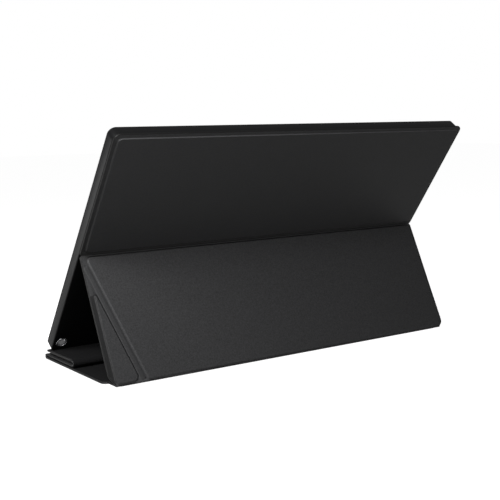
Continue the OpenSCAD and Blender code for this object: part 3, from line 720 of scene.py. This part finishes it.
def cover_outlines():
    """The panels of the cover, each as name, body, place, outline, its radii, what its sides are, the board's
    outline, its radii, how far its sides are creased and darkened with painted shade, how much painted highlight
    lies on them, a negative amount painting shade, and the grain.
    Corners and sides count anticlockwise, from the lower left corner and the side after it."""
    m, c = measures()
    w, top, low = half_width(), m.height + c.top_overhang, c.upper_length + c.gap
    g, k, hem, chan, inset_foot = c.gap, c.diagonal, c.hem, c.fold_channel, c.spine_inset
    near = c.flap_channel
    side, foot, tuck = w - c.flap_hem, mitre(), c.spine_inset - 1.4
    # the panels out of sight take a little painted shade and painted highlight along their boards
    hidden = ([0.3] * 4, [0.2] * 4, 1.0)
    upper = ("upper", "monitor", "upper", rect(-w, low, w, top), [2, 2, 5, 5],
             [0.1, FREE, FREE, FREE],
             rect(-w + hem, c.upper_length + c.upper_channel, w - hem, top - hem), [3] * 4,
             [1.0, 0, 0, 0], [-0.3, -0.4, 1.0, 0.0], 0.3)

    def on_leg(y, shift):
        return diagonal_point(y, shift, 0, leg_length())

    low = -foot_cut() + g
    rise = low + c.foot_hem
    leg = ("leg", "leg", "leg", [(-w, low), on_leg(low, -g), on_leg(-g, -g), (-w, -g)],
           [inset_foot, 0.5, 0.5, 2], [foot, 0.05, 0.1, FREE],
           [(-w + hem, rise), on_leg(rise, -k), on_leg(-c.leg_channel, -k),
            (-w + hem, -c.leg_channel)], [3, 1.5, 3, 3], [0, 0, 1.0, 0.2],
            [0.3, 0.3, 0, 0.2], 1.0)
    # the leg's triangle widens over a flare at the foot, and its board ends at a tip
    flare, tip = 7, -34
    leg_flap = ("leg_flap", "leg_flap", "leg",
                [on_leg(low, g), (w - tuck, low), (w, low + flare), (w + 0.02, tip),
                 diagonal_end(w, g, 0, leg_length())],
                [0.5, 0.8, 6, 0.5, 0.02], [foot, FREE, FREE, FREE, 0.05],
                [on_leg(rise, near), (side - 2, rise), (side, rise + 2), (side + 0.4, tip),
                 on_leg(tip, near + 0.1)], [4, 2, 2, 0.45, 0.45], [0, 0, 0, 0.9, 1],
                [0.1, 0, -0.55, 0, 0], 1.0)

    front, back, spine_back = JOINT["front_fold"][1], JOINT["floor_fold"][1], JOINT["spine_fold"][1]
    long, rear = floor_length(), back - g - chan

    def on_floor(y, shift):
        return diagonal_point(y, shift, front, long)

    spine = ("spine", "spine", "floor",
             rect(-w + tuck, back + g, w - tuck, spine_back - g), [0.5, 0.5, 1, 1],
             [0.05, FREE, foot, FREE],
             rect(-w + inset_foot + hem, back + g + chan, w - inset_foot - hem,
                  spine_back - g - chan), [1] * 4, *hidden)
    floor = ("floor", "floor_panel", "floor",
             [(-w, front), on_floor(front, -g), on_floor(back - g, -g), (-w, back - g)],
             [1, 0.4, 0.5, 5], [0.05, 0.05, 0.05, FREE],
             [(-w + hem, front + chan), on_floor(front + chan, -k), on_floor(rear, -k),
              (-w + hem, rear)], [3, 3, 1.5, 3], *hidden)
    floor_flap = ("floor_flap", "floor_flap", "floor",
                  [diagonal_end(w, g, front, long), (w, back - g), on_floor(back - g, g)],
                  [0.02, 5, 0.5], [FREE, 0.05, 0.05],
                  [diagonal_end(side, near, front, long), (side, rear), on_floor(rear, near)],
                  [1, 3, 4], [0, 0, 1], [0.3, 0.3, 0], 1.0)
    long = c.middle_length
    middle = ("middle", "middle_panel", "middle", rect(-w, -long, w, -g), [1] * 4,
              [0.05, FREE, 0.05, FREE],
              rect(-w + hem, -long + chan, w - hem, -chan), [3] * 4, *hidden)
    long -= c.setback
    top = ("top", "top_panel", "top", rect(-w, -long, w, -g), [1.5, 1.5, 1, 1],
           [FREE, FREE, 0.05, FREE], rect(-w + hem, -long + hem, w - hem, -chan), [3] * 4,
           *hidden)
    return [upper, leg, leg_flap, spine, floor, floor_flap, middle, top]


class PieceOperator(bpy.types.Operator):
    """Shared settings of the operators that add pieces."""

    bl_options = {"REGISTER", "UNDO"}


class MONITOR_OT_housing(PieceOperator):
    """Moulds the housing and the bezel, with their openings."""

    bl_idname = "monitor.housing"
    bl_label = "Add the housing and the bezel"

    def execute(self, context):
        m = measures()[0]
        where = places()["monitor"]
        w, h, t, z = m.width / 2, m.height, m.thickness, m.bezel
        frame_box, radii = rect(-w, 0, w, h), [m.foot_corner] * 2 + [m.corner] * 2
        hole, bored, seat, boss = (w - m.hole_side, m.hole_up), 4.75, 5.3, 6.2
        # where a cap's flat starts inside the side, how far a cutter passes a face, and a hair
        inner, beyond, tiny = 8, 1, 0.01

        def solid(name, rings, caps="fan"):
            return ring_solid(name, place(rings, *where), caps)

        def bore(name, x, y, r, z0, z1):
            return solid(name, tube(x, y, r, -z1, -z0))

        levels = [(-z - tiny, inner), (-z - tiny, 0.3), (-z - 0.12, 0.06), (-z - 0.3, 0)]
        levels += round_edge(-t, m.back_edge, -1, 10) + [(-t, inner)]
        shell = solid("housing", block(frame_box, radii, levels))
        wall, plate = 1.6, 1.4
        inside = [(x + s * wall, y + u * wall) for (x, y), (s, u) in
                  zip(frame_box, ((1, 1), (-1, 1), (-1, -1), (1, -1)))]
        cave = solid("cave", block(inside, [2, 2, 5, 5], [(-t + plate, 0), (beyond, 0)]))
        carve(cave, [bore("keep", *hole, boss, z + 0.1, t - tiny)])
        # the socket's opening is a rounded slot, cut through the side wall
        low, high, half_long = 1.5, 4.86, 4.67
        slot = rounded(rect(low - t, -half_long, high - t, half_long), [(high - low) / 2] * 4)
        slot = [[(x, m.socket_up + b, d) for d, b in slot] for x in (-w - beyond, -w + 3)]
        carve(shell, [cave, bore("hole", *hole, bored, -beyond, t + beyond),
                      solid("slot", slot), bore("seat", *hole, seat, t - 0.6, t + beyond)])
        finish(shell, "monitor", "housing_plastic", "sprayed_abs", "rear_housing")

        levels = [(-z, inner), (-z, 0.12), (0.12 - z, 0)] + round_edge(0, 0.5, 1) + [(0, inner)]
        front = solid("bezel", block(frame_box, radii, levels))
        view = rect(-m.screen_width / 2, m.chin, m.screen_width / 2, m.chin + m.screen_height)
        button, light = 3.15, 0.85
        holes = [(*hole, bored)] + [(m.power_side - w + along, m.button_up, r) for along, r in
                                    ((0, button), (13, button), (23.4, light))]
        carve(front, [solid("view", block(view, [0.3] * 4, [(-z - beyond, 0), (beyond, 0)])),
                      *(bore("hole", *spot, -beyond, z + beyond) for spot in holes)])
        finish(front, "monitor", "bezel_plastic", "textured_abs", "front_bezel")

        ring = solid("pen_sleeve", sleeve(*hole, t), "loop")
        finish(ring, "monitor", "chrome", "chrome_plate", "pen_hole_ring")
        return {"FINISHED"}


class MONITOR_OT_inner_pieces(PieceOperator):
    """Gives the CAD nodes that stay their materials: the screen, the buttons, the pieces inside
    the housing and the boards and magnets inside the cover."""

    bl_idname = "monitor.inner_pieces"
    bl_label = "Finish the other pieces"

    def execute(self, context):
        looks = {
            "screen_film": ["screen_panel"],
            "white_film": ["diffuser_sheets", "led_bar", "flat_cable"],
            "clear_plastic": ["light_guide", "status_light"],
            "sheet_steel": ["panel_frame", "board_shield", "usb_c_socket", "panel_screws",
                            "catch_plates", "upper_magnets", "top_magnets"],
            "fr4_laminate": ["panel_driver_board", "main_board", "button_board"],
            "textured_abs": ["power_button", "menu_button"],
            "grey_board": [name + "_board" for name in (
                "upper", "leg", "leg_flap", "spine", "floor", "floor_flap", "middle", "top")],
        }
        for look, nodes in looks.items():
            for node in nodes:
                data = frame["nodes"][node].data
                data.materials.clear()
                data.materials.append(materials()[look])
        return {"FINISHED"}


class MONITOR_OT_cover_panels(PieceOperator):
    """Adds the leather and the lining of the cover's panels, each round its board."""

    bl_idname = "monitor.cover_panels"
    bl_label = "Add the cover's panels"

    def execute(self, context):
        spots = places()
        for name, body, at, outline, *shape in cover_outlines():
            skin, cloth = cover_panel(name, spots[at], outline, *shape)
            finish(skin, body, "leather", "synthetic_leather", name + "_skin")
            finish(cloth, body, "lining_fabric", "microfibre", name + "_lining")
        return {"FINISHED"}


def strip(name, outer, inner, reach, look, bodies, start, end, *nodes):
    """Adds a band along a fold, blended between two bodies; start and end are (y, z). The numbers
    in the folds below are a strip's own lengths past its corner, in mm."""
    obj = fold_band(name, outer, inner, reach)
    return bend(obj, look, bodies, (0, *start), (0, *end), *nodes)


def crease_fold():
    """The valley between the upper panel and the leg, and the lining round its back. The valley's leather is
    darkened with painted shade down to the middle of its bow."""
    m, c = measures()
    up, down = np.array([sin(m.tilt), cos(m.tilt)]), np.array([sin(c.lean), -cos(c.lean)])
    back, out = np.array([cos(m.tilt), -sin(m.tilt)]), np.array([cos(c.lean), sin(c.lean)])
    pivot, hem = JOINT["leg_fold"][1:], c.skin + c.lining
    behind = (places()["upper"][0][1:] + back * hem - pivot) @ back
    corner = np.linalg.solve([back, out], [behind + PROUD, PROUD])
    above, below, first, last = 2.4, 0.8, corner + up, corner + down * 0.5
    path = np.vstack([corner + up * above, bow(first, corner, last), corner + down * below])
    inside = np.vstack([path[:1] - back * THICK,
                        bow(first - back * THICK, corner - [0.55, 0], last - out * THICK),
                        path[-1:] - out * THICK])
    ends = (pivot + up * 1.2, pivot + down * 0.7)
    reach = half_width() - 1.2
    valley = strip("crease_leather", pivot + path, pivot + inside, reach,
                   "synthetic_leather", ("monitor", "leg"), *ends, "crease_strip")
    # painted shade over the valley's leather, full down to its bow and fading out across the bow's middle
    half = len(path) / 2
    valley_shade = np.interp(np.arange(len(path)), [half - 1, half + 1], [1, 0])
    mark(valley, "crease", np.resize(np.append(valley_shade, valley_shade[::-1]), len(valley.data.vertices)))
    turn = (180 - degrees(m.tilt), 180 + degrees(c.lean), 13)
    outer, inner = arc(pivot, hem - c.rise, *turn), arc(pivot, 0.5, *turn)
    strip("crease_lining", outer, inner, reach, "microfibre", ("monitor", "leg"), *ends)


def foot_folds():
    """The corner between the leg and the spine, and the flat fold between spine and floor."""
    c = measures()[1]
    down, out = np.array([sin(c.lean), -cos(c.lean)]), np.array([cos(c.lean), sin(c.lean)])
    corner = JOINT["leg_fold"][1:] + down * leg_length()
    z = corner[1] - PROUD
    corner = corner + PROUD * out
    line, thick = np.array([-1.0, 0]), 0.9
    start, end = corner - down * 2.6, np.array([JOINT["spine_fold"][1] - 1.2, z])
    corner = np.array([corner[0], z])
    first, last = corner - down * 1.5, corner + line * 1.5
    path = np.vstack([start, bow(first, corner, last, 11), end])
    deep = np.array([-tan(pi / 4 - c.lean / 2), 1]) * thick
    inside = np.vstack([start - out * THICK,
                        bow(first - out * thick, corner + deep, last + [0, thick], 11),
                        end + [0, THICK]])
    w = half_width() - c.spine_inset + 1.2
    ends = (corner - down * 1.4, corner + line * 1.4)
    strip("foot_leather", path, inside, w, "synthetic_leather", ("leg", "spine"), *ends,
          "foot_fold_strip")
    fold = JOINT["floor_fold"][1:]
    y = np.array([1.2, 0.6, 0.3, 0, -0.3, -0.6, -1.2])
    for name, face, into, look in (
        ("spine_fold_leather", fold[1] - PROUD, 0.4, "synthetic_leather"),
        ("spine_fold_lining", fold[1] + c.skin + c.lining - c.rise + PROUD, -0.4, "microfibre"),
    ):
        path = with_z(fold[0] + y, face)
        strip(name, path, path + [0, into], half_width() - c.spine_inset, look,
              ("spine", "floor_panel"), (fold[0] + 0.6, face), (fold[0] - 0.6, face))


def front_fold():
    """The half turn round the front edges of the floor panel and the middle panel."""
    y, z = JOINT["front_fold"][1:]
    r, tail, gap = z - (JOINT["floor_fold"][2] - PROUD), y + 2.2, 0.55
    path = np.vstack([[tail, z - r], arc((y, z), r, 270, 90), [tail, z + r]])
    inside = np.vstack([[tail, z - r + THICK], arc((y, z), gap, 270, 90),
                        [tail, z + r - THICK]])
    strip("front_fold_leather", path, inside, half_width() - 0.1, "synthetic_leather",
          ("floor_panel", "middle_panel"), (y, z - 1.3), (y, z + 1.3), "front_fold_strip")


def rear_fold():
    """The loop behind the middle panel and the top panel: leather inside, lining outside."""
    c = measures()[1]
    low, high = [np.array(v)[1:] * 1000 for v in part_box("rear_fold_strip")]
    y, z = low[0], (low[1] + high[1]) / 2
    out, tail = (high[1] - low[1]) / 2, 1.9
    r = out - c.skin - c.lining
    slope = np.array([-cos(c.slope), -sin(c.slope)]) * tail

    def loop(radius, wide):
        """From under the middle panel's end, round, and over the top panel's."""
        turn = arc((y, z), (wide, radius), -90, 90)
        return np.vstack([turn[0] - [tail, 0], turn, turn[-1] + slope])

    ends = ((y, z - r), (y, z + r))
    bodies = ("middle_panel", "top_panel")
    reach, meet = half_width() - 0.1, r + c.skin
    strip("rear_loop_leather", loop(r - PROUD, r), loop(meet - PROUD, meet - PROUD), reach,
          "synthetic_leather", bodies, *ends, "rear_fold_strip")
    strip("rear_loop_lining", loop(out - c.rise + PROUD, out), loop(meet + PROUD, meet + PROUD),
          reach, "microfibre", bodies, *ends)


def diagonal_folds():
    """The flat bands over the diagonal folds beside the two triangles."""
    c = measures()[1]
    spots = places()
    front, back = JOINT["front_fold"][1], JOINT["floor_fold"][1]
    g, tip, hem = c.gap + 0.5, 9, c.skin + c.lining
    for name, bodies, fold in (
        ("leg", ("leg", "leg_flap"), (0, leg_length(), g - foot_cut(), -tip)),
        ("floor", ("floor_panel", "floor_flap"),
         (front, floor_length(), back - g, front + tip)),
    ):
        start, long, low, high = fold
        where = spots[name]
        a, b = diagonal_point(low, 0, start, long), diagonal_point(high, 0, start, long)
        room = [c.flap * abs(y - start) / long * 0.96 for y in (low, high)]
        for kind, face, into, look, wide in (
            ("leather", -hem - PROUD, 1, "synthetic_leather", (3.1, 2.0)),
            ("lining", -c.rise + PROUD, -1, "microfibre", (1.0, 1.0)),
        ):
            obj, right = diagonal_band(f"{name}_diagonal_{kind}", where, a, b, wide, room,
                                       face, into)
            across = place([[*(np.array(a) + right * d), face] for d in (-0.5, 0.5)], *where)
            bend(obj, look, bodies, *across)


class MONITOR_OT_cover_folds(PieceOperator):
    """Adds the strips of leather and lining that bend in the folds between the panels."""

    bl_idname = "monitor.cover_folds"
    bl_label = "Add the strips in the folds"

    def execute(self, context):
        for fold in (crease_fold, foot_folds, front_fold, rear_fold, diagonal_folds):
            fold()
        return {"FINISHED"}


def show(tree, hidden, shown, glossy, output):
    """Ends a tree with a mix of two shaders: hidden for the light that falls on the object, shown
    for the camera, and a share of it, glossy, in reflections."""
    path = add(tree, "ShaderNodeLightPath")
    seen = add(tree, "ShaderNodeMath", {"operation": "MULTIPLY_ADD", 1: glossy},
               {0: (path, "Is Glossy Ray"), 2: (path, "Is Camera Ray")})
    mix = add(tree, "ShaderNodeMixShader", None, {"Fac": (seen, 0), 1: (hidden, 0), 2: (shown, 0)})
    add(tree, output, None, {"Surface": (mix, 0)})


class MONITOR_OT_stage(PieceOperator):
    """Adds the floor, the lamps and the camera."""

    bl_idname = "monitor.stage"
    bl_label = "Add the floor, lamps and camera"

    def execute(self, context):
        scene = context.scene
        reach = 6000
        floor = new_mesh("floor", [(x, y, 0) for x, y in rect(-reach, -reach, reach, reach)],
                         [(0, 1, 2, 3)])
        mat = bpy.data.materials.new("pale_floor")
        floor.data.materials.append(mat)
        world = bpy.data.worlds.new("studio")
        scene.world = world
        for holder in (mat, world):
            holder.use_nodes = True
            holder.node_tree.nodes.clear()

        tree = mat.node_tree
        bounce = add(tree, "ShaderNodeBsdfDiffuse", {"Color": (0.05, 0.05, 0.05, 1)})
        matt = add(tree, "ShaderNodeBsdfDiffuse", {"Color": (0.8, 0.8, 0.8, 1)})
        lift = add(tree, "ShaderNodeEmission", {"Color": (1, 1, 1, 1), "Strength": 0.97})
        both = add(tree, "ShaderNodeAddShader", None, {0: (matt, 0), 1: (lift, 0)})
        show(tree, bounce, both, 0.38, "ShaderNodeOutputMaterial")
        tree = world.node_tree
        room, white = [add(tree, "ShaderNodeBackground", {"Color": (1, 1, 1, 1), "Strength": power})
                       for power in (0.02, 1.0)]
        show(tree, room, white, 0.15, "ShaderNodeOutputWorld")

        def lamp(name, towards, far, wide, watts, aim=(0, 0.05, 0.1)):
            """A soft lamp that faces the point aim from far metres towards a direction."""
            light = bpy.data.lights.new(name, "AREA")
            light.shape, light.size, light.size_y = "RECTANGLE", *wide
            light.energy = watts
            obj = new_object(name, light)
            obj.location = aim + unit(np.array(towards)) * far
            obj.rotation_euler = Vector(towards).to_track_quat("Z", "Y").to_euler()

        lamp("side_softbox", (0.66, 0.58, 0.47), 0.62, (0.28, 0.28), 1.05)
        lamp("high_softbox", (0.8, 0.3, 0.9), 0.6, (0.28, 0.28), 3.2, (0.12, 0.11, 0.04))
        lamp("top_softbox", (0.0, 0.6, 0.8), 0.9, (0.6, 0.3), 1.2)
        lamp("rim_softbox", (1.0, -0.8, 0.0), 0.7, (0.3, 0.18), 0.4)

        # the camera's bearing, height and roll, the point that it is placed from, its place along
        # its own axes in mm, and its focal length in widths of the frame
        az, el, roll = radians(34.872), radians(7.349), radians(-1.054)
        centre, offset, focal = np.array([0, 50, 101]), [1.318, -15.636, 893.041], 974.911 / 500
        back = np.array([sin(az) * cos(el), cos(az) * cos(el), sin(el)])
        right = unit(np.cross([0, 0, 1], back))
        up = np.cross(back, right)
        c, s = cos(roll), sin(roll)
        axes = np.stack([c * right + s * up, -s * right + c * up, back], 1)
        eye = centre + axes @ np.array(offset)
        camera = bpy.data.cameras.new("camera")
        camera.sensor_width = 36
        camera.lens = camera.sensor_width * focal
        camera.clip_end = 50
        scene.camera = new_object("camera", camera)
        matrix = np.eye(4)
        matrix[:3, :3], matrix[:3, 3] = axes, eye * MM
        scene.camera.matrix_world = Matrix(matrix.tolist())
        scene.view_settings.view_transform = "Standard"
        return {"FINISHED"}


class MONITOR_PT_pieces(bpy.types.Panel):
    """Lists the operators that make the model, and its sizes and colours."""

    bl_idname = "MONITOR_PT_pieces"
    bl_label = "Portable monitor"
    bl_space_type = "VIEW_3D"
    bl_region_type = "UI"
    bl_category = "Monitor"

    def draw(self, context):
        for operator in STEPS:
            self.layout.operator(operator.bl_idname)
        for group in (getattr(context.scene, name) for name in GROUPS):
            box = self.layout.box()
            for name in group.__annotations__:
                box.prop(group, name)


STEPS = [MONITOR_OT_stage, MONITOR_OT_housing, MONITOR_OT_inner_pieces, MONITOR_OT_cover_panels,
         MONITOR_OT_cover_folds]
GROUPS = {"monitor_sizes": PortableMonitorSizes, "cover_sizes": FoldingCoverSizes,
          "monitor_finishes": MonitorFinishes}
CLASSES = [*GROUPS.values(), *STEPS, MONITOR_PT_pieces]


def register():
    for cls in CLASSES:
        bpy.utils.register_class(cls)
    for name, group in GROUPS.items():
        setattr(bpy.types.Scene, name, bpy.props.PointerProperty(type=group))


def unregister():
    for name in GROUPS:
        delattr(bpy.types.Scene, name)
    for cls in reversed(CLASSES):
        bpy.utils.unregister_class(cls)


def main():
    register()
    for operator in STEPS:
        getattr(bpy.ops.monitor, operator.bl_idname.split(".")[1])()


if __name__ == "__main__":
    main()
